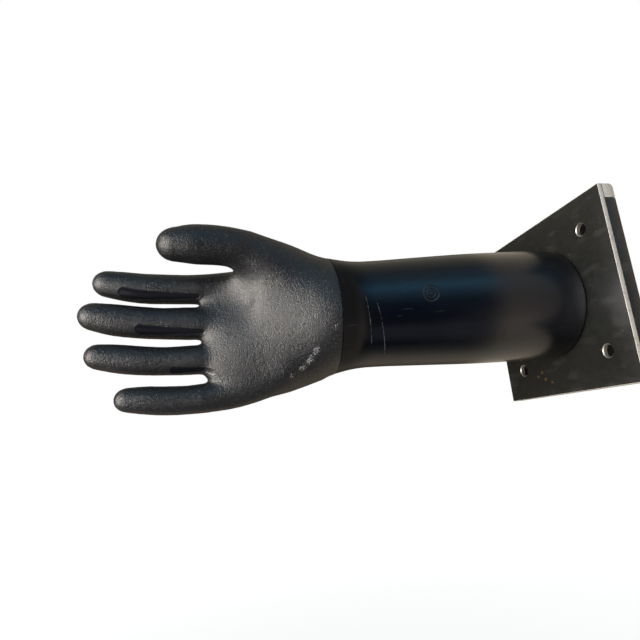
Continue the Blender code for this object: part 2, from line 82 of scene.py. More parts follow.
# Forearm: the rounding at its foot, then distance from the plate and outer radius.
FOOT_ROUND = 1.2
FOREARM = [
    (FOOT - FOOT_ROUND, 50.6),
    (FOOT - 6.0, 51.5),
    (FOOT - 18.0, 52.1),
    (FOOT - 48.0, 51.8),
    (FOOT - 85.0, 51.1),
    (FOOT - 123.0, 49.5),
    (WRIST + 68.0, 48.1),
    (WRIST + 43.0, 47.0),
    (WRIST + 27.0, 46.8),
    (WRIST + 16.0, 47.6),
    (WRIST + 7.0, 49.1),
    (WRIST, 50.4),
]
FOREARM_SECTIONS = 140
FOREARM_R = 50.0
FOOT_RADIUS = 49.3
# How far the forearm's axis hangs down at the wrist.
DROOP = 1.8
FOOT_BORE = 45.5
TUBE_BORE = 42.0
SHOULDER = FOOT - 44.0
# The blind socket in the hand's wrist end.
SOCKET_R = 38.5
SOCKET_DEPTH = 17.0

# The engraved size ring: place along the forearm, turn from the front, radius, groove half width and depth.
RING_ALONG = -146.6
RING_TURN = math.radians(4.0)
RING_RADIUS = 6.6
GROOVE_HALF = 0.5
GROOVE_DEPTH = 0.28
# The fine patch of mesh round it: margin, and the spacing of lines inside and outside, along and round.
PATCH_MARGIN = 1.2
FINE_ALONG, PLAIN_ALONG = 0.22, 2.2
FINE_TURN, PLAIN_TURN = 0.0045, 0.04
# Two scratches round the forearm: along at the start and the end, turn at the start and the end.
SCRATCHES = ((-202.4, -197.6, 0.03, -0.82), (-194.2, -184.0, 0.02, -1.06))

# Plate and frame.
HOLE_Y = 59.0
HOLE_Z = 54.6
HOLE_R = 5.5
HOLE_CHAMFER = 0.7
BOSS_R = 9.5
BAR_WIDTH = (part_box("frame_bar_near")[1].y - PLATE_LOW.y) / MM
BAR_CORNER = 4.0
WELD_SIZE = 2.6
WELD_HALF = 13.0
WELD_AT = 30.0
WELD_RIPPLE = 1.7

# Bolt and screws.
BOLT_R = 6.0
HEX_FLATS = 19.0
HEAD_START = PLATE_THICK + 2.6
HEAD_DEPTH = 7.5
HEAD_FACE = 0.4
WASHER_R = 12.0
WASHER_THICK = 2.0
WASHER_BORE = BOLT_R + 0.4
SPIGOT_SCREW_PCR = 34.0
SCREW_CLEAR = 2.8
SUNK_CLEAR = 5.7

# The casting: along, depth, height, half width and half thickness of each section, from the wrist outwards. The
# palm's sixth value is 2 for an oval section and more for a squarer one.
PALM = [
    (-190.0, 0.0, -1.5, 46.8, 46.8, 2.0),
    (-207.0, 0.0, -1.7, 47.6, 47.6, 2.0),
    (-223.0, 0.0, -1.8, 50.6, 50.2, 2.0),
    (-236.0, 0.0, -2.2, 53.6, 48.0, 2.1),
    (-250.0, 0.0, -4.4, 54.8, 42.0, 2.2),
    (-265.0, 0.0, -8.0, 55.4, 34.8, 2.2),
    (-280.0, 0.0, -11.5, 55.4, 28.0, 2.2),
    (-293.0, 0.0, -12.5, 54.0, 22.0, 2.2),
    (-303.0, 0.0, -5.0, 43.0, 17.0, 2.2),
    (-313.0, 0.0, 2.5, 32.0, 13.5, 2.2),
    (-324.0, 0.0, 8.5, 20.5, 10.0, 2.2),
    (-331.0, 0.0, 11.0, 12.0, 7.0, 2.2),
]
# The ball of the thumb, which fills in between the thumb's root and the palm.
THENAR = [
    (-232.0, -12.0, 4.0, 30.0, 33.5),
    (-244.0, -14.0, 10.0, 30.0, 29.5),
    (-256.0, -15.0, 17.0, 28.0, 25.0),
    (-268.0, -14.0, 23.0, 25.0, 21.0),
    (-280.0, -12.0, 27.0, 20.5, 17.8),
    (-292.0, -8.0, 27.0, 15.0, 15.0),
    (-304.0, -5.0, 25.5, 12.0, 11.5),
    (-315.0, -3.0, 25.0, 8.0, 8.0),
]
THUMB = [
    (-222.0, -6.0, 8.0, 30.0, 32.0),
    (-240.0, -12.0, 20.0, 28.5, 27.0),
    (-256.0, -17.0, 30.0, 26.5, 23.5),
    (-270.0, -21.0, 38.2, 23.5, 21.0),
    (-284.0, -25.0, 45.0, 19.6, 18.5),
    (-297.0, -28.0, 49.8, 16.8, 16.5),
    (-310.0, -30.0, 52.2, 16.4, 15.5),
    (-324.0, -31.0, 53.4, 16.4, 15.0),
    (-338.0, -32.0, 53.8, 15.5, 14.4),
    (-347.0, -32.0, 53.6, 13.8, 13.2),
]
INDEX = [
    (-276.0, -4.0, 20.0, 16.5, 21.5),
    (-291.0, -2.0, 23.8, 16.4, 18.0),
    (-306.0, 0.0, 25.6, 14.9, 14.8),
    (-322.0, 0.0, 26.2, 13.0, 13.0),
    (-338.0, 0.0, 26.4, 12.4, 12.4),
    (-357.0, 0.0, 27.2, 12.5, 11.8),
    (-376.0, 0.0, 28.5, 12.5, 11.4),
    (-391.0, 0.0, 30.9, 12.0, 10.9),
    (-402.0, 0.0, 33.0, 11.0, 10.1),
]
MIDDLE = [
    (-274.0, -5.0, -9.0, 14.5, 21.5),
    (-290.0, -2.0, -5.6, 14.4, 18.2),
    (-306.0, 0.0, -4.3, 13.8, 14.8),
    (-322.0, 0.0, -3.4, 13.4, 13.4),
    (-339.0, 0.0, -2.6, 13.6, 12.8),
    (-360.0, 0.0, -1.7, 13.0, 12.1),
    (-381.0, 0.0, 0.5, 13.1, 11.7),
    (-400.0, 0.0, 3.6, 12.8, 11.3),
    (-412.5, 0.0, 6.3, 11.4, 10.5),
]
RING = [
    (-270.0, -4.0, -34.5, 14.0, 21.0),
    (-287.0, -2.0, -33.2, 13.8, 17.8),
    (-303.0, 0.0, -32.3, 12.8, 14.3),
    (-322.0, 0.0, -32.6, 12.0, 12.8),
    (-340.0, 0.0, -32.8, 12.0, 12.1),
    (-360.0, 0.0, -32.4, 11.5, 11.3),
    (-379.0, 0.0, -30.7, 11.7, 11.0),
    (-396.0, 0.0, -28.2, 11.5, 10.6),
    (-409.0, 0.0, -26.0, 10.3, 9.7),
]
LITTLE = [
    (-262.0, -5.0, -46.0, 17.0, 23.0),
    (-280.0, -2.0, -52.7, 15.1, 17.5),
    (-297.0, 0.0, -59.3, 12.8, 13.8),
    (-308.0, 0.0, -62.1, 12.0, 12.7),
    (-323.0, 0.0, -63.4, 12.0, 11.9),
    (-341.0, 0.0, -64.3, 11.5, 11.0),
    (-360.0, 0.0, -63.7, 11.5, 10.6),
    (-376.0, 0.0, -62.1, 11.0, 10.1),
    (-388.0, 0.0, -61.0, 9.8, 9.1),
]
SKIN_VOXEL = 1.2
SKIN_SMOOTHING = 26
SKIN_GRAIN = 0.09
# Evening out of the palm: rounds, the depth from the middle at which it starts, its two ends along the hand, and
# its upper border at places along.
PALM_SMOOTHING = 260
PALM_FACE = 6.0
PALM_START = -212.0
PALM_END = -332.0
PALM_TOP = [(-330.0, 44.0), (-302.0, 47.0), (-288.0, 64.0), (-240.0, 90.0)]

# Soft swellings of the palm: along, height, reach along, reach up, and how far out.
PALM_FORMS = [
    (-288.0, 11.0, 14.0, 12.0, 1.5),
]

# Bare, unblasted patches: finger, start and end along it, turn below the front, half width at start and end; and
# the value that stands for far from all of them.
BARE_PATCHES = [
    (INDEX, -393.0, -331.0, 44.0, 5.4, 1.9),
    (MIDDLE, -381.0, -328.0, 42.0, 5.2, 1.5),
    (RING, -356.0, -322.0, 51.0, 3.4, 1.2),
]
FAR_FROM_BARE = -3.0
# Chipped spots near the wrist: along, height, reach.
CHIPPED = [
    (-229.0, -21.0, 5.0),
    (-243.0, -36.0, 5.0),
    (-248.0, -43.0, 5.5),
    (-255.0, -49.0, 5.0),
    (-263.0, -54.0, 4.0),
]

# What surrounds the former, as it mirrors it: angle up from the front about the former's axis, and colour. The
# open side lies towards the fingers and the wall side towards the plate.
OPEN_SIDE = [
    (-180, (0.06, 0.05, 0.04)),
    (-160, (0.14, 0.12, 0.09)),
    (-140, (0.40, 0.34, 0.27)),
    (-119, (0.42, 0.38, 0.32)),
    (-97, (0.14, 0.14, 0.13)),
    (-80, (0.02, 0.025, 0.04)),
    (-62, (0.12, 0.13, 0.17)),
    (-47, (0.13, 0.14, 0.18)),
    (-32, (0.02, 0.025, 0.045)),
    (-18, (0.01, 0.02, 0.06)),
    (-3, (0.012, 0.03, 0.08)),
    (11, (0.04, 0.10, 0.17)),
    (25, (0.12, 0.28, 0.46)),
    (40, (0.18, 0.52, 0.80)),
    (58, (0.13, 0.25, 0.37)),
    (78, (0.14, 0.17, 0.21)),
    (102, (0.25, 0.24, 0.20)),
    (130, (0.32, 0.30, 0.24)),
    (150, (0.12, 0.11, 0.09)),
    (180, (0.06, 0.05, 0.04)),
]
WALL_SIDE = [
    (-180, (0.66, 0.56, 0.45)),
    (-110, (0.73, 0.66, 0.52)),
    (-70, (0.71, 0.62, 0.51)),
    (-42, (0.81, 0.71, 0.61)),
    (-20, (0.59, 0.51, 0.44)),
    (0, (0.51, 0.45, 0.39)),
    (45, (0.46, 0.41, 0.37)),
    (63, (0.44, 0.40, 0.34)),
    (110, (0.67, 0.57, 0.46)),
    (180, (0.66, 0.56, 0.45)),
]
# The bright area beyond the fingers: direction, how closely a direction has to follow it, and colour.
KEY_AIM = (-0.90, -0.40, 0.02)
KEY_EDGE = (0.86, 1.0)
KEY_SIDE = (14.0, 13.8, 13.6)
# The broad weak light under it, which is added to what is there.
FILL_AIM = (-0.90, -0.30, -0.32)
FILL_EDGE = (0.64, 0.97)
FILL_SIDE = (0.95, 0.93, 0.90)
# The light behind the plate, on the back of the hand's side.
REAR_SIDE = (2.4, 2.37, 2.33)

# The floor, in metres: its radius, and how far below the row's lowest point it lies.
FLOOR_RADIUS = 6.0
FLOOR_DROP = 0.25

# The camera: place, heading right of +Y, pitch up, roll and focal length on a sensor this wide.
EYE = (-331.1, -414.3, -102.0)
HEADING = 13.668
PITCH = 12.879
ROLL = -5.723
LENS = 28.384
SENSOR = 36.0


def row(x, y, z):
    """A place in the former's frame, in metres in the row."""
    return ORIGIN + Vector((x, y, z)) * MM


class Nodes:
    """Short calls for the nodes of one shader tree. Sizes are millimetres."""

    def __init__(self, tree):
        self.tree = tree

    def node(self, kind, **settings):
        """Adds a node of this kind with these settings."""
        made = self.tree.nodes.new(kind)
        for key, value in settings.items():
            setattr(made, key, value)
        return made

    def feed(self, socket, value):
        """Links an output to a socket, or sets its value."""
        if isinstance(value, bpy.types.NodeSocket):
            self.tree.links.new(value, socket)
        elif socket.type == "RGBA" and len(value) == 3:
            socket.default_value = (*value, 1.0)
        else:
            socket.default_value = value

    def math(self, operation, *values):
        """The result of one arithmetic operation."""
        made = self.node("ShaderNodeMath", operation=operation)
        for socket, value in zip(made.inputs, values):
            self.feed(socket, value)
        return made.outputs[0]

    def vector(self, operation, *values):
        """The node of one vector operation."""
        made = self.node("ShaderNodeVectorMath", operation=operation)
        for socket, value in zip(made.inputs, values):
            self.feed(socket, value)
        return made

    def step(self, value, low, high):
        """0 below low, 1 above high, smooth between; low may be the larger."""
        made = self.node("ShaderNodeMapRange", interpolation_type="SMOOTHSTEP")
        for name, given in (("Value", value), ("From Min", low), ("From Max", high)):
            self.feed(made.inputs[name], given)
        return made.outputs["Result"]

    def spread(self, value, low, high):
        """A value of 0 to 1 spread over low to high."""
        made = self.node("ShaderNodeMapRange")
        for name, given in (("Value", value), ("To Min", low), ("To Max", high)):
            self.feed(made.inputs[name], given)
        return made.outputs["Result"]

    def mix(self, amount, first, second, how="MIX"):
        """Blends two colours: all first at 0, all second at 1."""
        made = self.node("ShaderNodeMix", data_type="RGBA", blend_type=how)
        for index, value in ((0, amount), (6, first), (7, second)):
            self.feed(made.inputs[index], value)
        return made.outputs[2]

    def split(self, vector):
        """A vector's three values."""
        made = self.node("ShaderNodeSeparateXYZ")
        self.feed(made.inputs[0], vector)
        return made.outputs

    def follows(self, way, aim):
        """How closely a direction follows aim: 1 where they agree."""
        return self.vector("DOT_PRODUCT", way, Vector(aim).normalized()).outputs["Value"]

    def ramp(self, value, stops):
        """A colour band through (place, colour) stops in rising order."""
        made = self.node("ShaderNodeValToRGB")
        band = made.color_ramp
        while len(band.elements) < len(stops):
            band.elements.new(1.0)
        for element, (place, color) in zip(band.elements, stops):
            element.position = place
            element.color = (*color, 1.0)
        self.feed(made.inputs[0], value)
        return made.outputs[0]


class Look(Nodes):
    """A new Principled material whose textures sit in the former's frame."""

    def __init__(self, name, roughness=0.5, metallic=0.0, ior=1.5):
        self.material = bpy.data.materials.new(name)
        self.material.use_nodes = True
        super().__init__(self.material.node_tree)
        self.shader = self.tree.nodes["Principled BSDF"]
        shift = self.vector("SUBTRACT", self.node("ShaderNodeTexCoord").outputs["Object"], ORIGIN)
        scale = self.vector("SCALE", shift.outputs[0])
        self.feed(scale.inputs["Scale"], 1 / MM)
        self.place = scale.outputs[0]
        self.normal = None
        self.set("Roughness", roughness)
        self.set("Metallic", metallic)
        self.set("IOR", ior)

    def set(self, name, value):
        """Feeds one of the shader's inputs."""
        self.feed(self.shader.inputs[name], value)

    def stretched(self, stretch, at=None):
        """The place, or at, times stretch along each axis."""
        at = at or self.place
        return self.vector("MULTIPLY", at, stretch).outputs[0] if stretch else at

    def noise(self, size, detail=2.0, stretch=None, at=None):
        """Noise of 0 to 1 whose lumps are about size across."""
        made = self.node("ShaderNodeTexNoise")
        self.feed(made.inputs["Vector"], self.stretched(stretch, at))
        self.feed(made.inputs["Scale"], 1 / size)
        self.feed(made.inputs["Detail"], detail)
        return made.outputs["Fac"]

    def cells(self, size, stretch=None, at=None):
        """Distance to the nearest of scattered points, in cell sizes."""
        made = self.node("ShaderNodeTexVoronoi")
        self.feed(made.inputs["Vector"], self.stretched(stretch, at))
        self.feed(made.inputs["Scale"], 1 / size)
        return made.outputs["Distance"]

    def attribute(self, name):
        """A value stored on the mesh's vertices."""
        return self.node("ShaderNodeAttribute", attribute_name=name).outputs["Fac"]

    def around(self):
        """(along, turn from the front in radians, distance from the axis) as sockets."""
        x, y, z = self.split(self.place)
        turn = self.math("ARCTAN2", z, self.math("MULTIPLY", y, -1.0))
        reach = self.math("SQRT", self.math("ADD", self.math("MULTIPLY", y, y), self.math("MULTIPLY", z, z)))
        return x, turn, reach

    def unrolled(self, radius):
        """The surface of a round piece laid flat: along, round, radius."""
        along, turn, reach = self.around()
        made = self.node("ShaderNodeCombineXYZ")
        self.feed(made.inputs[0], along)
        self.feed(made.inputs[1], self.math("MULTIPLY", turn, radius))
        self.feed(made.inputs[2], reach)
        return made.outputs[0]

    def bump(self, height, depth):
        """Adds relief on top of any that is already there."""
        made = self.node("ShaderNodeBump")
        self.feed(made.inputs["Height"], height)
        self.feed(made.inputs["Distance"], depth * MM)
        if self.normal is not None:
            self.feed(made.inputs["Normal"], self.normal)
        self.normal = made.outputs[0]
        self.feed(self.shader.inputs["Normal"], self.normal)


def blasted_coating():
    """The hand: grit-blasted, dark and half matt, with bare patches and chips."""
    look = Look("blasted_coating", ior=1.6)
    coarse = look.noise(1.05, 2.0)
    fine = look.noise(0.6, 2.0)
    broad = look.noise(26.0, 3.0)
    bare = look.math("ADD", look.attribute("bare"), look.spread(look.noise(2.2, 3.0), -0.7, 0.7))
    bare = look.step(bare, -0.8, 0.7)
    specks = look.step(look.noise(1.3, 1.0), 0.60, 0.74)
    near = look.math("MINIMUM", look.attribute("chips"), 1.0)
    chips = look.step(look.math("MULTIPLY", near, look.noise(0.9, 3.0)), 0.50, 0.60)
    base = look.mix(broad, (0.007, 0.007, 0.008), (0.013, 0.013, 0.014))
    base = look.mix(look.math("MULTIPLY", specks, 0.55), base, (0.070, 0.070, 0.072))
    base = look.mix(bare, base, (0.006, 0.006, 0.008))
    base = look.mix(chips, base, (0.34, 0.34, 0.33))
    look.set("Base Color", base)
    look.set("Specular Tint", (1.0, 0.95, 0.89))
    rough = look.spread(broad, 0.24, 0.32)
    rough = look.math("ADD", rough, look.math("MULTIPLY", bare, -0.12))
    look.set("Roughness", rough)
    grain = look.math("ADD", coarse, look.math("MULTIPLY", fine, 0.5))
    grain = look.math("MULTIPLY", grain, look.spread(bare, 1.0, 0.06))
    look.bump(grain, 0.48)
    look.bump(chips, 0.10)
    return look.material


def polished_coating():
    """The forearm: glossy black, with wiping marks, fine scratches and a few nicks."""
    look = Look("polished_coating", ior=1.6)
    flat = look.unrolled(FOREARM_R)
    along, turn, _ = look.around()
    smears = look.noise(24.0, 4.0, (0.35, 1.0, 1.0), flat)
    turning = look.noise(1.4, 2.0, (1.0, 0.02, 0.0), flat)
    lengthwise = look.step(look.noise(0.9, 2.0, (0.035, 1.0, 0.0), flat), 0.66, 0.78)
    scuffed = look.step(look.noise(30.0, 2.0, None, flat), 0.50, 0.72)
    lengthwise = look.math("MULTIPLY", lengthwise, scuffed)
    marks = look.math("MAXIMUM", lengthwise, scratch_pair(look, along, turn))
    nicks = look.step(look.cells(24.0, None, flat), 0.035, 0.02)
    marks = look.math("MAXIMUM", marks, nicks)
    groove = look.attribute("engraved")
    base = look.mix(smears, (0.0008, 0.001, 0.002), (0.003, 0.0035, 0.005))
    base = look.mix(look.math("MULTIPLY", marks, 0.5), base, (0.16, 0.16, 0.16))
    base = look.mix(look.math("MULTIPLY", groove, 0.5), base, (0.020, 0.021, 0.024))
    look.set("Base Color", base)
    rough = look.spread(look.step(smears, 0.35, 0.70), 0.12, 0.18)
    rough = look.math("ADD", rough, look.math("MULTIPLY", marks, 0.25))
    rough = look.math("ADD", rough, look.spread(look.step(along, -95.0, -35.0), 0.0, 0.14))
    look.set("Roughness", rough)
    look.set("Specular IOR Level", look.spread(look.step(along, WRIST + 8.0, WRIST + 34.0), 0.12, 0.50))
    look.bump(turning, 0.004)
    look.bump(look.noise(9.0, 2.0), 0.03)
    look.bump(marks, -0.02)
    return look.material


def scratch_pair(look, along, turn):
    """Two long fine scratches that run round the forearm near the wrist and draw together."""
    marks = 0.0
    ragged = look.noise(5.0, 3.0)
    for start, end, first, last in SCRATCHES:
        line = look.math("MULTIPLY_ADD", turn, (end - start) / (last - first), start)
        off = look.math("ABSOLUTE", look.math("SUBTRACT", along, line))
        thin = look.step(off, look.spread(ragged, 0.1, 0.8), 0.0)
        begun = look.step(turn, first + 0.05, first - 0.05)
        inside = look.math("MULTIPLY", look.step(turn, last - 0.05, last + 0.05), begun)
        marks = look.math("MAXIMUM", marks, look.math("MULTIPLY", thin, inside))
    return look.math("MULTIPLY", marks, look.step(ragged, 0.36, 0.60))


def mill_steel():
    """Hot-rolled steel with its scale on: dark olive grey, cloudy, scratched, with rust specks."""
    look = Look("mill_steel", ior=1.6)
    clouds = look.noise(34.0, 5.0)
    mottled = look.noise(7.0, 4.0)
    scale = look.noise(1.1, 3.0)
    rubbed = look.step(look.noise(16.0, 4.0, (1.0, 0.5, 1.6)), 0.52, 0.72)
    scratches = look.step(look.noise(0.8, 2.0, (1.0, 0.05, 1.0)), 0.70, 0.78)
    scratches = look.math("MULTIPLY", scratches, look.step(look.noise(22.0, 2.0), 0.48, 0.64))
    base = look.mix(clouds, (0.003, 0.003, 0.0025), (0.009, 0.009, 0.0075))
    base = look.mix(look.math("MULTIPLY", mottled, 0.5), base, (0.012, 0.0115, 0.0095))
    base = look.mix(look.math("MULTIPLY", rubbed, 0.5), base, (0.030, 0.029, 0.026))
    base = look.mix(look.math("MULTIPLY", scratches, 0.6), base, (0.15, 0.15, 0.14))
    base = look.mix(rust_specks(look), base, (0.075, 0.045, 0.016))
    look.set("Base Color", base)
    look.set("Roughness", look.spread(mottled, 0.28, 0.44))
    look.bump(scale, 0.05)
    look.bump(look.noise(12.0, 3.0), 0.10)
    look.bump(scratches, -0.03)
    return look.material


def rust_specks(look):
    """Small rust spots, thickest on the plate below the forearm and scarce elsewhere."""
    x, y, z = look.split(look.place)
    over = look.math("SUBTRACT", y, 26.0)
    up = look.math("SUBTRACT", z, -57.0)
    away = look.math("SQRT", look.math("ADD", look.math("MULTIPLY", over, over), look.math("MULTIPLY", up, up)))
    near = look.step(away, 30.0, 4.0)
    spots = look.math("ADD", look.cells(9.0), look.spread(look.noise(2.0, 3.0), -0.16, 0.16))
    limit = look.spread(near, 0.05, 0.21)
    return look.step(look.math("SUBTRACT", spots, limit), 0.03, -0.05)


def cut_steel(name, tone, metallic):
    """Sawn, drilled and ground steel: bare, warm grey, a little stained."""
    look = Look(name, metallic=metallic)
    stain = look.noise(9.0, 4.0)
    lines = look.noise(0.5, 2.0, (0.15, 1.0, 1.0))
    dark = look.step(look.noise(3.0, 3.0), 0.56, 0.74)
    base = look.mix(stain, (tone, tone * 0.93, tone * 0.82), (tone * 0.82, tone * 0.73, tone * 0.61))
    base = look.mix(look.math("MULTIPLY", lines, 0.3), base, (tone * 0.5, tone * 0.48, tone * 0.44))
    base = look.mix(look.math("MULTIPLY", dark, 0.45), base, (0.10, 0.085, 0.065))
    look.set("Base Color", base)
    look.set("Roughness", look.spread(stain, 0.34, 0.52))
    look.bump(lines, 0.03)
    return look.material


def shade_painted_bore():
    """The inside of a boss: near black, as painted shade for the dark inside of the holes."""
    look = Look("shade_painted_bore", roughness=0.8)
    look.set("Base Color", look.mix(look.noise(2.5, 3.0), (0.002, 0.002, 0.002), (0.008, 0.007, 0.006)))
    look.set("Specular IOR Level", 0.10)
    look.bump(look.noise(1.0, 3.0), 0.04)
    return look.material


def weld_steel():
    """Weld metal: dark, brownish where it was hottest, with a dull scale."""
    look = Look("weld_steel", metallic=0.8)
    cloud = look.noise(2.4, 4.0)
    base = look.mix(cloud, (0.10, 0.095, 0.09), (0.20, 0.165, 0.13))
    look.set("Base Color", look.mix(look.step(look.noise(5.0, 2.0), 0.50, 0.70), base, (0.05, 0.055, 0.08)))
    look.set("Roughness", look.spread(cloud, 0.34, 0.60))
    look.bump(look.noise(0.6, 3.0), 0.06)
    return look.material


def turned_steel(name, color, roughness):
    """Metal turned or ground, with fine rings about its axis, smudges and a few dull spots."""
    look = Look(name, metallic=1.0)
    rings = look.noise(0.35, 2.0, (1.0, 0.06, 0.06))
    smudge = look.noise(6.0, 4.0)
    spots = look.step(look.cells(5.0), 0.10, 0.04)
    dark = tuple(0.45 * part for part in color)
    base = look.mix(look.step(smudge, 0.40, 0.75), color, tuple(0.75 * part for part in color))
    base = look.mix(look.math("MULTIPLY", spots, 0.5), base, dark)
    look.set("Base Color", base)
    look.set("Roughness", look.spread(smudge, roughness - 0.08, roughness + 0.12))
    look.bump(rings, 0.015)
    return look.material


def cast_alloy():
    """Sand-cast aluminium, faced where it seats: pale, pitted and dull."""
    look = Look("cast_alloy", metallic=0.9)
    pits = look.step(look.cells(2.6), 0.22, 0.05)
    cloud = look.noise(8.0, 4.0)
    base = look.mix(cloud, (0.52, 0.52, 0.51), (0.40, 0.40, 0.41))
    look.set("Base Color", look.mix(look.math("MULTIPLY", pits, 0.5), base, (0.20, 0.20, 0.20)))
    look.set("Roughness", look.spread(cloud, 0.38, 0.56))
    look.bump(look.noise(0.9, 3.0), 0.05)
    look.bump(pits, -0.06)
    return look.material


def rubber():
    """The gasket: matt black with a fine skin."""
    look = Look("gasket_rubber", ior=1.45)
    skin = look.noise(0.8, 3.0)
    cloud = look.noise(7.0, 3.0)
    look.set("Base Color", look.mix(cloud, (0.010, 0.010, 0.011), (0.022, 0.022, 0.023)))
    look.set("Roughness", look.spread(cloud, 0.62, 0.82))
    look.bump(skin, 0.05)
    return look.material


def placed(name, bm):
    """A new object in the scene with the bmesh's faces; the bmesh is used up."""
    mesh = bpy.data.meshes.new(name)
    bm.to_mesh(mesh)
    bm.free()
    obj = bpy.data.objects.new(name, mesh)
    bpy.context.scene.collection.objects.link(obj)
    return obj


def applied(obj):
    """A new mesh: the object's own with its modifiers applied."""
    graph = bpy.context.evaluated_depsgraph_get()
    return bpy.data.meshes.new_from_object(obj.evaluated_get(graph))


def link(name, bm, finish, body, nodes, sharp=30.0):
    """Moves a bmesh drawn in the former's frame to its place, and joins it to a body in place of its CAD nodes."""
    bmesh.ops.recalc_face_normals(bm, faces=bm.faces)
    bmesh.ops.scale(bm, vec=(MM, MM, MM), verts=bm.verts)
    bmesh.ops.translate(bm, vec=ORIGIN, verts=bm.verts)
    obj = placed(name, bm)
    obj.data.shade_smooth()
    obj.data.set_sharp_from_angle(angle=math.radians(sharp))
    for each in finish:
        obj.data.materials.append(each)
    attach(obj, body)
    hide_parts(*nodes)


def flow(stations, count):
    """Evenly spaced sections along a smooth curve through the stations."""
    points = np.array(stations)
    run = np.linalg.norm(np.diff(points[:, :3], axis=0), axis=1)
    reach = np.concatenate(([0.0], np.cumsum(run)))
    slope = np.gradient(points, reach, axis=0)
    rows = []
    for distance in np.linspace(0.0, reach[-1], count):
        i = min(int(np.searchsorted(reach, distance, side="right")) - 1, len(run) - 1)
        t = (distance - reach[i]) / run[i]
        rows.append(
            (2 * t**3 - 3 * t**2 + 1) * points[i]
            + (t**3 - 2 * t**2 + t) * run[i] * slope[i]
            + (3 * t**2 - 2 * t**3) * points[i + 1]
            + (t**3 - t**2) * run[i] * slope[i + 1]
        )
    return np.array(rows)


def domed(rows, steps=7):
    """Adds the round end of a finger to its sections."""
    last = rows[-1]
    ahead = rows[-1, :3] - rows[-2, :3]
    ahead = ahead / np.linalg.norm(ahead)
    extra = []
    for k in range(1, steps + 1):
        angle = math.pi / 2 * k / (steps + 0.35)
        centre = last[:3] + ahead * last[3] * 1.12 * math.sin(angle)
        extra.append((*centre, last[3] * math.cos(angle), last[4] * math.cos(angle)))
    return np.vstack((rows, extra))


def bridge(bm, rings):
    """Faces between each ring of vertices and the next."""
    for near, far in zip(rings, rings[1:]):
        for k in range(len(near)):
            step = (k + 1) % len(near)
            bm.faces.new((near[k], near[step], far[step], far[k]))


def add_limb(bm, stations, count=36, around=32, tip=True):
    """A closed body through oval sections; a sixth value above 2 squares a section's oval."""
    rows = flow(stations, count)
    if tip:
        rows = domed(rows)
    ahead = np.gradient(rows[:, :3], axis=0)
    rings = []
    for section, direction in zip(rows, ahead):
        power = section[5] if len(section) > 5 else 2.0
        along = Vector(direction).normalized()
        deep = Vector((0.0, 1.0, 0.0))
        deep = (deep - along * deep.dot(along)).normalized()
        wide = along.cross(deep)
        ring = []
        for k in range(around):
            angle = 2 * math.pi * k / around
            u = math.copysign(abs(math.cos(angle)) ** (2 / power), math.cos(angle))
            v = math.copysign(abs(math.sin(angle)) ** (2 / power), math.sin(angle))
            spot = Vector(section[:3]) + wide * (section[3] * u) + deep * (section[4] * v)
            ring.append(bm.verts.new(spot))
        rings.append(ring)
    bridge(bm, rings)
    bm.faces.new(list(reversed(rings[0])))
    bm.faces.new(rings[-1])


def fused_skin():
    """Palm and digits run into one fine smooth skin, as a mesh in metres."""
    bm = bmesh.new()
    add_limb(bm, PALM, 44, 64, tip=False)
    add_limb(bm, THENAR, 24, 48, tip=False)
    for digit in (THUMB, INDEX, MIDDLE, RING, LITTLE):
        add_limb(bm, digit)
    bmesh.ops.recalc_face_normals(bm, faces=bm.faces)
    bmesh.ops.scale(bm, vec=(MM, MM, MM), verts=bm.verts)
    holder = placed("rough_skin", bm)
    skin = holder.modifiers.new("skin", "REMESH")
    skin.mode = "VOXEL"
    skin.voxel_size = SKIN_VOXEL * MM
    smooth = holder.modifiers.new("smooth", "SMOOTH")
    smooth.factor = 0.5
    smooth.iterations = SKIN_SMOOTHING
    fused = applied(holder)
    bpy.data.objects.remove(holder, do_unlink=True)
    return fused


def ease(values, start, span):
    """0 up to start, rising to 1 over span; with a negative span, 1 at low values and 0 from start on."""
    return np.clip((values - start) / span, 0.0, 1.0)


def relaxed(bm):
    """Evens out the front and back of the palm, and leaves its sides and the digits as they are."""
    bm.verts.index_update()
    points = np.array([vert.co for vert in bm.verts])
    ends = np.array([(edge.verts[0].index, edge.verts[1].index) for edge in bm.edges])
    ends = np.vstack((ends, ends[:, ::-1]))
    count = np.bincount(ends[:, 0])[:, None]
    along, depth, height = points.T.copy()
    share = ease(np.abs(depth), PALM_FACE, 10.0)
    share *= ease(along, PALM_END, 22.0) * ease(along, PALM_START, -20.0)
    share *= ease(height, np.interp(along, *zip(*PALM_TOP)), -14.0)
    share = 0.5 * share[:, None]
    for _ in range(PALM_SMOOTHING):
        around = [np.bincount(ends[:, 0], points[ends[:, 1], axis]) for axis in range(3)]
        points += share * (np.stack(around, axis=1) / count - points)
    for vert, point in zip(bm.verts, points):
        vert.co = point
    bm.normal_update()


def swell(point, out):
    """How far the palm's forms move a point outwards: only where it faces the front."""
    facing = min(max(-out.y * 1.6 - 0.3, 0.0), 1.0)
    if facing == 0.0:
        return 0.0
    total = 0.0
    for along, height, reach, rise, amount in PALM_FORMS:
        far = ((point.x - along) / reach) ** 2 + ((point.z - height) / rise) ** 2
        total += amount * math.exp(-far)
    return total * facing


def bareness(point):
    """Signed distance into the nearest bare patch, positive inside."""
    best = FAR_FROM_BARE
    for finger, start, end, turn, first, last in BARE_PATCHES:
        share = (point.x - start) / (end - start)
        if not -0.1 < share < 1.1:
            continue
        height = np.interp(-point.x, [-s[0] for s in finger], [s[2] for s in finger])
        radius = np.interp(-point.x, [-s[0] for s in finger], [s[3] for s in finger])
        if abs(point.z - height) > 1.3 * radius:
            continue
        angle = math.atan2(height - point.z, -point.y)
        side = radius * (angle - math.radians(turn))
        half = first + (last - first) * share
        beyond = max(start + half - point.x, point.x - end + half, 0.0)
        best = max(best, half - math.hypot(beyond, side))
    return best


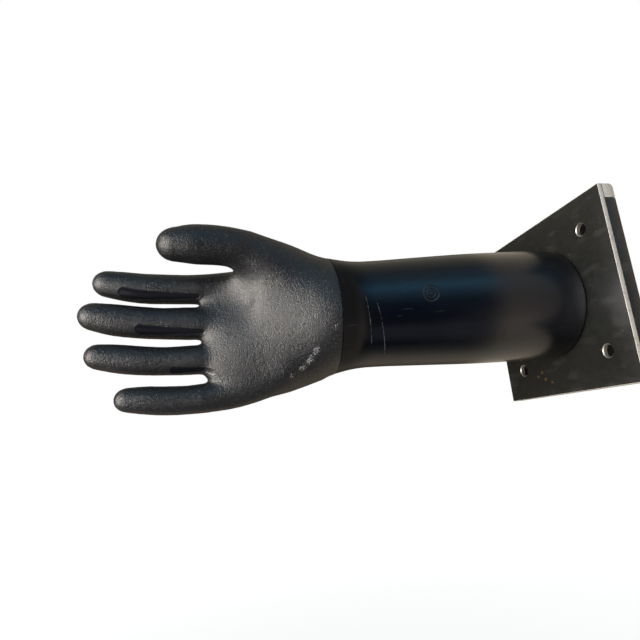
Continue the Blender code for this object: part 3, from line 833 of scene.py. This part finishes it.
def chipping(point):
    """How strongly the coating is chipped at a point, 1 in the middle of a spot."""
    if point.y > 0.0:
        return 0.0
    return sum(
        math.exp(-(((point.x - along) / reach) ** 2) - ((point.z - height) / reach) ** 2)
        for along, height, reach in CHIPPED
    )


def close_wrist(bm):
    """Cuts the skin square at the wrist and turns its edge in to a blind socket."""
    edge = WRIST - GAP
    everything = list(bm.verts) + list(bm.edges) + list(bm.faces)
    bmesh.ops.bisect_plane(
        bm, geom=everything, dist=1e-4, plane_co=(edge, 0, 0), plane_no=(1, 0, 0), clear_outer=True
    )
    rim = [vert for vert in bm.verts if vert.is_boundary]
    rim.sort(key=lambda vert: math.atan2(vert.co.z, vert.co.y))
    loops = [rim]
    for along in (edge, edge - SOCKET_DEPTH):
        turns = [math.atan2(vert.co.z, vert.co.y) for vert in rim]
        loops.append([bm.verts.new((along, SOCKET_R * math.cos(a), SOCKET_R * math.sin(a))) for a in turns])
    bridge(bm, loops)
    bm.faces.new(loops[-1])


def hand(finish):
    """The cast hand: one fused, relaxed and lightly uneven skin, cut square and socketed at the wrist."""
    fused = fused_skin()
    bm = bmesh.new()
    bm.from_mesh(fused)
    bpy.data.meshes.remove(fused)
    bmesh.ops.scale(bm, vec=(1 / MM, 1 / MM, 1 / MM), verts=bm.verts)
    bm.normal_update()
    relaxed(bm)
    moves = []
    for vert in bm.verts:
        grain = noise.noise(vert.co * 0.42) * SKIN_GRAIN
        moves.append(vert.normal * (swell(vert.co, vert.normal) + grain))
    for vert, move in zip(bm.verts, moves):
        vert.co += move
    close_wrist(bm)
    bare = bm.verts.layers.float.new("bare")
    chips = bm.verts.layers.float.new("chips")
    for vert in bm.verts:
        vert[bare] = bareness(vert.co)
        vert[chips] = chipping(vert.co)
    link("hand_skin", bm, [finish], "former", ["hand_shell"], sharp=50)


def lines_between(low, high, spacing, dense_low, dense_high, dense):
    """Grid lines from low to high, closer together inside the dense stretch."""
    before = np.linspace(low, dense_low, max(int((dense_low - low) / spacing), 1), endpoint=False)
    middle = np.linspace(dense_low, dense_high, int((dense_high - dense_low) / dense), endpoint=False)
    after = np.linspace(dense_high, high, max(int((high - dense_high) / spacing), 1) + 1)
    return np.concatenate((before, middle, after))


def engraving(along, turn, radius):
    """How deep the size ring and the punch mark in its middle are cut, from 0 to 1."""
    u = along - RING_ALONG
    v = radius * (turn - RING_TURN)
    reach = math.hypot(u, v)
    off = min(abs(reach - RING_RADIUS), abs(reach - 0.55 * RING_RADIUS) + 0.15, max(reach - 0.6, 0.0))
    share = min(max(1.3 - off / GROOVE_HALF, 0.0), 1.0)
    return share * share * (3 - 2 * share)


def forearm(finish):
    """The turned forearm as one closed tube, with a fine patch where the size ring is engraved."""
    sections = flow(FOREARM, FOREARM_SECTIONS)[::-1]
    end = FOOT - FOOT_ROUND
    span = RING_RADIUS + PATCH_MARGIN
    along = lines_between(WRIST, end, PLAIN_ALONG, RING_ALONG - span, RING_ALONG + span, FINE_ALONG)
    arc = span / FOREARM_R
    turns = lines_between(-math.pi, math.pi, PLAIN_TURN, RING_TURN - arc, RING_TURN + arc, FINE_TURN)[:-1]
    bm = bmesh.new()
    cut_depth = bm.verts.layers.float.new("engraved")
    rings = []

    def radius_at(x):
        return float(np.interp(x, sections[:, 0], sections[:, 1]))

    def add_ring(x, radius, drooping, engraved=False):
        ring = []
        drop = DROOP * (x / WRIST) ** 2 if drooping else 0.0
        for turn in turns:
            depth = engraving(x, turn, radius) if engraved else 0.0
            reach = radius - GROOVE_DEPTH * depth
            vert = bm.verts.new((x, -reach * math.cos(turn), reach * math.sin(turn) - drop))
            vert[cut_depth] = depth
            ring.append(vert)
        rings.append(ring)

    for x in along:
        add_ring(x, radius_at(x), True, abs(x - RING_ALONG) < span)
    round_off = radius_at(end) - FOOT_RADIUS
    for angle in np.linspace(0.0, math.pi / 2, 6)[1:]:
        add_ring(end + FOOT_ROUND * math.sin(angle), FOOT_RADIUS + round_off * math.cos(angle), True)
    for x, radius in ((FOOT, FOOT_BORE), (SHOULDER, FOOT_BORE), (SHOULDER, TUBE_BORE), (WRIST, TUBE_BORE)):
        add_ring(x, radius, False)
    bridge(bm, rings + rings[:1])
    link("forearm_skin", bm, [finish], "former", ["forearm_tube"], sharp=40)


def spun(bm, rows, count=96, at=(0.0, 0.0), bored=False):
    """Turns (along, reach) rows about a line along X through at; a reach may be a function of the turn."""
    rings = []
    for along, reach in rows:
        ring = []
        for k in range(count):
            turn = 2 * math.pi * k / count
            out = reach(turn) if callable(reach) else reach
            ring.append(bm.verts.new((along, at[0] + out * math.cos(turn), at[1] + out * math.sin(turn))))
        rings.append(ring)
    if bored:
        rings.append(rings[0])
    else:
        bm.faces.new(rings[0])
        bm.faces.new(rings[-1])
    bridge(bm, rings)


def hexagon(flats, most=math.inf):
    """Reach of a hexagon of this half width across its flats, cut to at most this radius."""
    return lambda turn: min(flats / math.cos(turn % (math.pi / 3) - math.pi / 6), most)


def prism(bm, outline, low, high, axis):
    """Extrudes an outline of (along, across) points between two places on axis 1 or 2."""
    ends = []
    for place in (low, high):
        corners = [(x, place, v) if axis == 1 else (x, v, place) for x, v in outline]
        ends.append([bm.verts.new(corner) for corner in corners])
    bm.faces.new(ends[0])
    bm.faces.new(ends[1])
    bridge(bm, ends)


def finished(bm, edge=0.0, cutters=None):
    """The solid with its sharp edges eased and its cutters taken away, as a new bmesh."""
    holders = []
    for each in (bm, cutters):
        if each is None:
            continue
        bmesh.ops.recalc_face_normals(each, faces=each.faces)
        holders.append(placed("blank", each))
    if edge:
        ease = holders[0].modifiers.new("ease", "BEVEL")
        ease.width = edge
        ease.segments = 2
        ease.limit_method = "ANGLE"
        ease.angle_limit = math.radians(40)
    if cutters is not None:
        drilled = holders[0].modifiers.new("drilled", "BOOLEAN")
        drilled.solver = "EXACT"
        drilled.object = holders[1]
    mesh = applied(holders[0])
    made = bmesh.new()
    made.from_mesh(mesh)
    bpy.data.meshes.remove(mesh)
    for holder in holders:
        bpy.data.objects.remove(holder, do_unlink=True)
    made.normal_update()
    return made


def corner_spots():
    """Centres of the four corner holes."""
    middle = (PLATE_TOP + PLATE_BOTTOM) / 2
    return [(y, middle + z) for y in (-HOLE_Y, HOLE_Y) for z in (-HOLE_Z, HOLE_Z)]


def screw_spots():
    """Centres of the four screws that hold the spigot."""
    reach = SPIGOT_SCREW_PCR / math.sqrt(2)
    return [(reach, reach), (-reach, reach), (-reach, -reach), (reach, -reach)]


def mounting_plate(finishes):
    """The plate with eased edges, countersunk screw holes and drilled corner holes with bare walls."""
    half = PLATE_WIDTH / 2
    blank = bmesh.new()
    outline = [(0.0, PLATE_BOTTOM), (PLATE_THICK, PLATE_BOTTOM), (PLATE_THICK, PLATE_TOP), (0.0, PLATE_TOP)]
    prism(blank, outline, -half, half, 1)
    tools = bmesh.new()
    past = PLATE_THICK + 2
    for spot in corner_spots():
        wide = HOLE_R + HOLE_CHAMFER + 2.0
        spun(tools, [(-2.0, wide), (HOLE_CHAMFER, HOLE_R), (past, HOLE_R)], 64, spot)
    for spot in screw_spots():
        sink = [(-2.0, SCREW_CLEAR), (1.0, SCREW_CLEAR), (3.9, SUNK_CLEAR), (past, SUNK_CLEAR)]
        spun(tools, sink, 48, spot)
    spun(tools, [(-2.0, WASHER_BORE), (past, WASHER_BORE)], 64)
    plate = finished(blank, 0.45, tools)
    for face in plate.faces:
        middle = face.calc_center_median()
        bore = min(math.hypot(middle.y - y, middle.z - z) for y, z in corner_spots())
        rim = max(abs(middle.y) - half, middle.z - PLATE_TOP, PLATE_BOTTOM - middle.z)
        if bore < HOLE_R + HOLE_CHAMFER and abs(face.normal.x) < 0.95:
            face.material_index = 2
        elif rim > -0.5:
            face.material_index = 1
    link("mounting_plate", plate, finishes, "mounting", ["face_plate"], sharp=25)


def frame_bars(finishes):
    """The bars behind the plate: full-width top and bottom ones with a rounded outer corner, two posts between."""
    low, high = PLATE_THICK + GAP, FRAME_DEPTH
    half = PLATE_WIDTH / 2
    turns = np.linspace(0.0, math.pi / 2, 13)
    for name, outer, way in (("top", PLATE_TOP, 1.0), ("bottom", PLATE_BOTTOM, -1.0)):
        inner = outer - way * BAR_WIDTH
        corner = [
            (high - BAR_CORNER * (1 - math.cos(a)), outer - way * BAR_CORNER * (1 - math.sin(a))) for a in turns
        ]
        bar = bmesh.new()
        prism(bar, [(low, inner), (high, inner), *corner, (low, outer)], -half, half, 1)
        bar = finished(bar, 0.5)
        sawn_ends(bar)
        link(f"frame_{name}", bar, finishes, "mounting", [f"frame_bar_{name}"])
    bottom, top = PLATE_BOTTOM + BAR_WIDTH + GAP, PLATE_TOP - BAR_WIDTH - GAP
    for name, way in (("near", -1.0), ("far", 1.0)):
        inner, outer = way * (half - BAR_WIDTH), way * half
        post = bmesh.new()
        prism(post, [(low, inner), (high, inner), (high, outer), (low, outer)], bottom, top, 2)
        link(f"frame_{name}", finished(post, 0.6), finishes, "mounting", [f"frame_bar_{name}"])


def sawn_ends(bar):
    """Gives a bar's two ends the bare steel."""
    for face in bar.faces:
        if abs(face.normal.y) > 0.7:
            face.material_index = 1


def bosses(finishes):
    """The tubes behind the corner holes, with eased rims."""
    low, high = PLATE_THICK + GAP, FRAME_DEPTH
    rows = [(low, HOLE_R), (low, BOSS_R), (high - 0.6, BOSS_R), (high - 0.2, BOSS_R - 0.2), (high, BOSS_R - 0.6)]
    rows += [(high, HOLE_R + 0.5), (high - 0.5, HOLE_R)]
    for number, spot in enumerate(corner_spots(), 1):
        boss = bmesh.new()
        spun(boss, rows, 64, spot, bored=True)
        for face in boss.faces:
            middle = face.calc_center_median()
            if math.hypot(middle.y - spot[0], middle.z - spot[1]) < HOLE_R + 0.1:
                # A bore face takes the near-black finish, which is painted shade for the dark inside of the hole.
                face.material_index = 1
        link(f"boss_{number}", boss, finishes, "mounting", [f"spacer_boss_{number}"])


def bead(bm, start, end, into, out):
    """One stitch of fillet weld in the corner between two faces, rippled along its back."""
    start, end, into, out = (Vector(each) for each in (start, end, into, out))
    run = (end - start).length
    count = int(run / 0.5)
    rings = []
    for k in range(count + 1):
        share = k / count
        swell_up = 1.0 - 0.22 * abs(math.sin(math.pi * run * share / WELD_RIPPLE))
        round_off = min(1.0, math.sqrt(max(1.0 - abs(2 * share - 1) ** 8, 0.02)))
        size = WELD_SIZE * swell_up * round_off
        root = start.lerp(end, share)
        turns = np.linspace(0, math.pi / 2, 7)
        arc = [root + into * (size * math.cos(a)) + out * (size * math.sin(a)) for a in turns]
        rings.append([bm.verts.new(place) for place in (root, *arc)])
    bm.faces.new(rings[0])
    bm.faces.new(rings[-1])
    bridge(bm, rings)


def rippled(size):
    """Reach of the weld round a boss, rippled along its run, as a function of the turn."""
    ripples = round(2 * math.pi * BOSS_R / WELD_RIPPLE)
    return lambda turn: BOSS_R + size * (1.0 - 0.2 * abs(math.sin(ripples * turn / 2)))


def welds(finish):
    """Stitch welds between the plate's back and the bars, and a weld round the foot of each boss."""
    bm = bmesh.new()
    x = PLATE_THICK + 0.02
    side = PLATE_WIDTH / 2 - BAR_WIDTH
    for middle in (-WELD_AT, WELD_AT):
        for z, down in ((PLATE_TOP - BAR_WIDTH, -1.0), (PLATE_BOTTOM + BAR_WIDTH, 1.0)):
            bead(bm, (x, middle - WELD_HALF, z), (x, middle + WELD_HALF, z), (1, 0, 0), (0, 0, down))
        for y, inward in ((-side, 1.0), (side, -1.0)):
            bead(bm, (x, y, middle - WELD_HALF), (x, y, middle + WELD_HALF), (1, 0, 0), (0, inward, 0))
    rows = [(x, BOSS_R + 0.02), (x, rippled(2.4)), (x + 0.9, rippled(2.1))]
    rows += [(x + 1.7, rippled(1.3)), (x + 2.3, BOSS_R + 0.02)]
    for spot in corner_spots():
        spun(bm, rows, 192, spot, bored=True)
    link("weld_beads", bm, [finish], "mounting", [])


def draw_bolt(bright, zinc):
    """The bolt with a chamfered hexagon head and a washer face, and the washer under it."""
    half = HEX_FLATS / 2
    face, top = HEAD_START + HEAD_FACE, HEAD_START + HEAD_DEPTH
    bolt = bmesh.new()
    rows = [(-21.0, BOLT_R - 1.0), (-20.0, BOLT_R), (HEAD_START, BOLT_R)]
    rows += [(HEAD_START, half - 0.35), (face, half - 0.35), (face, hexagon(half))]
    for share in np.linspace(0.0, 1.0, 7):
        rows.append((top - 1.6 * (1 - share), hexagon(half, half + 1.5 - 2.0 * share)))
    rows += [(top, 5.2), (top - 0.3, 4.6)]
    spun(bolt, rows, 144)
    link("draw_bolt_finished", bolt, [bright], "bolt", ["draw_bolt"], sharp=25)
    ring = bmesh.new()
    low = PLATE_THICK + GAP
    high = low + WASHER_THICK
    rows = [(low, WASHER_BORE), (low, WASHER_R - 0.3), (low + 0.3, WASHER_R), (high - 0.3, WASHER_R)]
    rows += [(high, WASHER_R - 0.3), (high, WASHER_BORE + 0.3), (high - 0.3, WASHER_BORE)]
    spun(ring, rows, 96, bored=True)
    link("washer_finished", ring, [zinc], "mounting", ["bolt_washer"])


def countersunk_screws(finish):
    """The spigot's screws, with a hexagon socket in each head."""
    rows = [(-9.0, 2.0), (-8.6, 2.4), (1.2, 2.4), (3.5, 4.7), (3.8, 4.75), (3.8, 2.1), (3.7, 2.05)]
    rows += [(3.6, hexagon(1.5)), (1.9, hexagon(1.5)), (1.2, 0.3)]
    for number, spot in enumerate(screw_spots(), 1):
        screw = bmesh.new()
        spun(screw, rows, 48, spot)
        link(f"sunk_screw_{number}", screw, [finish], "mounting", [f"spigot_screw_{number}"])


def surroundings():
    """White to the camera; to the former, a dark open side, a warm wall and bright areas before and behind."""
    world = bpy.data.worlds.new("surroundings")
    bpy.context.scene.world = world
    world.use_nodes = True
    nodes = Nodes(world.node_tree)
    way = nodes.node("ShaderNodeTexCoord").outputs["Generated"]
    x, y, z = nodes.split(way)
    turn = nodes.math("ARCTAN2", z, nodes.math("MULTIPLY", y, -1.0))
    share = nodes.math("MULTIPLY_ADD", turn, 0.5 / math.pi, 0.5)
    open_side = nodes.ramp(share, [(angle / 360 + 0.5, color) for angle, color in OPEN_SIDE])
    wall_side = nodes.ramp(share, [(angle / 360 + 0.5, color) for angle, color in WALL_SIDE])
    color = nodes.mix(nodes.step(x, 0.46, 0.54), open_side, wall_side)
    front = nodes.step(y, 0.10, -0.22)
    key = nodes.math("MULTIPLY", nodes.step(nodes.follows(way, KEY_AIM), *KEY_EDGE), front)
    color = nodes.mix(key, color, KEY_SIDE)
    fill = nodes.math("MULTIPLY", nodes.step(nodes.follows(way, FILL_AIM), *FILL_EDGE), front)
    glow = nodes.mix(fill, (0.0, 0.0, 0.0), FILL_SIDE)
    color = nodes.mix(1.0, color, glow, "ADD")
    behind = nodes.math("MULTIPLY", nodes.step(x, 0.72, 0.95), nodes.step(y, -0.15, 0.20))
    color = nodes.mix(behind, color, REAR_SIDE)
    ground = world.node_tree.nodes["Background"]
    nodes.feed(ground.inputs["Color"], color)
    white = nodes.node("ShaderNodeBackground")
    nodes.feed(white.inputs["Color"], (1.0, 1.0, 1.0))
    seen = nodes.node("ShaderNodeMixShader")
    nodes.feed(seen.inputs[0], nodes.node("ShaderNodeLightPath").outputs["Is Camera Ray"])
    nodes.feed(seen.inputs[1], ground.outputs[0])
    nodes.feed(seen.inputs[2], white.outputs[0])
    nodes.feed(world.node_tree.nodes["World Output"].inputs["Surface"], seen.outputs[0])


def floor():
    """A pale round floor that fades into the white around it; it is seen, and lights nothing."""
    bm = bmesh.new()
    bmesh.ops.create_circle(bm, cap_ends=True, segments=96, radius=FLOOR_RADIUS)
    obj = placed("studio_floor", bm)
    obj.location = (CAD_BOX[0][0] / 2, 0.0, CAD_BOX[0][2] - FLOOR_DROP)
    obj.visible_diffuse = False
    obj.visible_glossy = False
    obj.visible_shadow = False
    mat = bpy.data.materials.new("studio_floor")
    mat.use_nodes = True
    nodes = Nodes(mat.node_tree)
    shader = mat.node_tree.nodes["Principled BSDF"]
    nodes.feed(shader.inputs["Base Color"], (0.30, 0.30, 0.30))
    nodes.feed(shader.inputs["Roughness"], 1.0)
    nodes.feed(shader.inputs["Specular IOR Level"], 0.0)
    far = nodes.vector("LENGTH", nodes.node("ShaderNodeTexCoord").outputs["Object"])
    nodes.feed(shader.inputs["Emission Color"], (1.0, 1.0, 1.0))
    white = nodes.step(far.outputs["Value"], 0.1, 1.2)
    nodes.feed(shader.inputs["Emission Strength"], nodes.spread(white, 0.80, 1.0))
    obj.data.materials.append(mat)


def camera():
    """The photo's view, from in front of the hand and below the plate."""
    lens = bpy.data.cameras.new("camera")
    lens.lens = LENS
    lens.sensor_width = SENSOR
    lens.clip_start = 0.01
    obj = bpy.data.objects.new("camera", lens)
    turn = Matrix.Rotation(math.radians(-HEADING), 3, "Z")
    tilt = Matrix.Rotation(math.radians(90 + PITCH), 3, "X")
    roll = Matrix.Rotation(math.radians(ROLL), 3, "Z")
    obj.rotation_euler = (turn @ tilt @ roll).to_euler()
    obj.location = row(*EYE)
    bpy.context.scene.collection.objects.link(obj)
    bpy.context.scene.camera = obj


def paint(finish, *names):
    """Gives CAD nodes a finish."""
    for name in names:
        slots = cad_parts[name].data.materials
        slots.clear()
        slots.append(finish)


def build():
    """Makes every piece, paints the CAD nodes that stay, and sets up the studio."""
    bpy.context.scene.view_settings.view_transform = "Standard"
    hand(blasted_coating())
    forearm(polished_coating())
    steel = mill_steel()
    bright = turned_steel("bright_steel", (0.55, 0.54, 0.52), 0.30)
    zinc = turned_steel("zinc_steel", (0.45, 0.46, 0.48), 0.36)
    bronze = turned_steel("bronze", (0.47, 0.31, 0.15), 0.34)
    alloy = cast_alloy()
    edges = cut_steel("cut_steel", 0.64, 0.35)
    mounting_plate([steel, edges, cut_steel("drilled_steel", 0.46, 0.85)])
    frame_bars([steel, edges])
    # The bosses' second finish is near-black painted shade for the insides of their bores.
    bosses([steel, shade_painted_bore()])
    welds(weld_steel())
    draw_bolt(bright, zinc)
    countersunk_screws(zinc)
    paint(bright, "collar_pin", "draw_socket", "key_pin_near", "key_pin_far")
    paint(bronze, "captive_collar")
    paint(zinc, "tie_rod", "tie_rod_washer", "tie_rod_nut", "wrist_screw_upper", "wrist_screw_lower")
    paint(zinc, *[f"socket_screw_{k}" for k in range(1, 5)])
    paint(alloy, "wrist_plug", "foot_bulkhead", "locating_spigot")
    paint(rubber(), "foot_gasket")
    surroundings()
    floor()
    camera()


build()
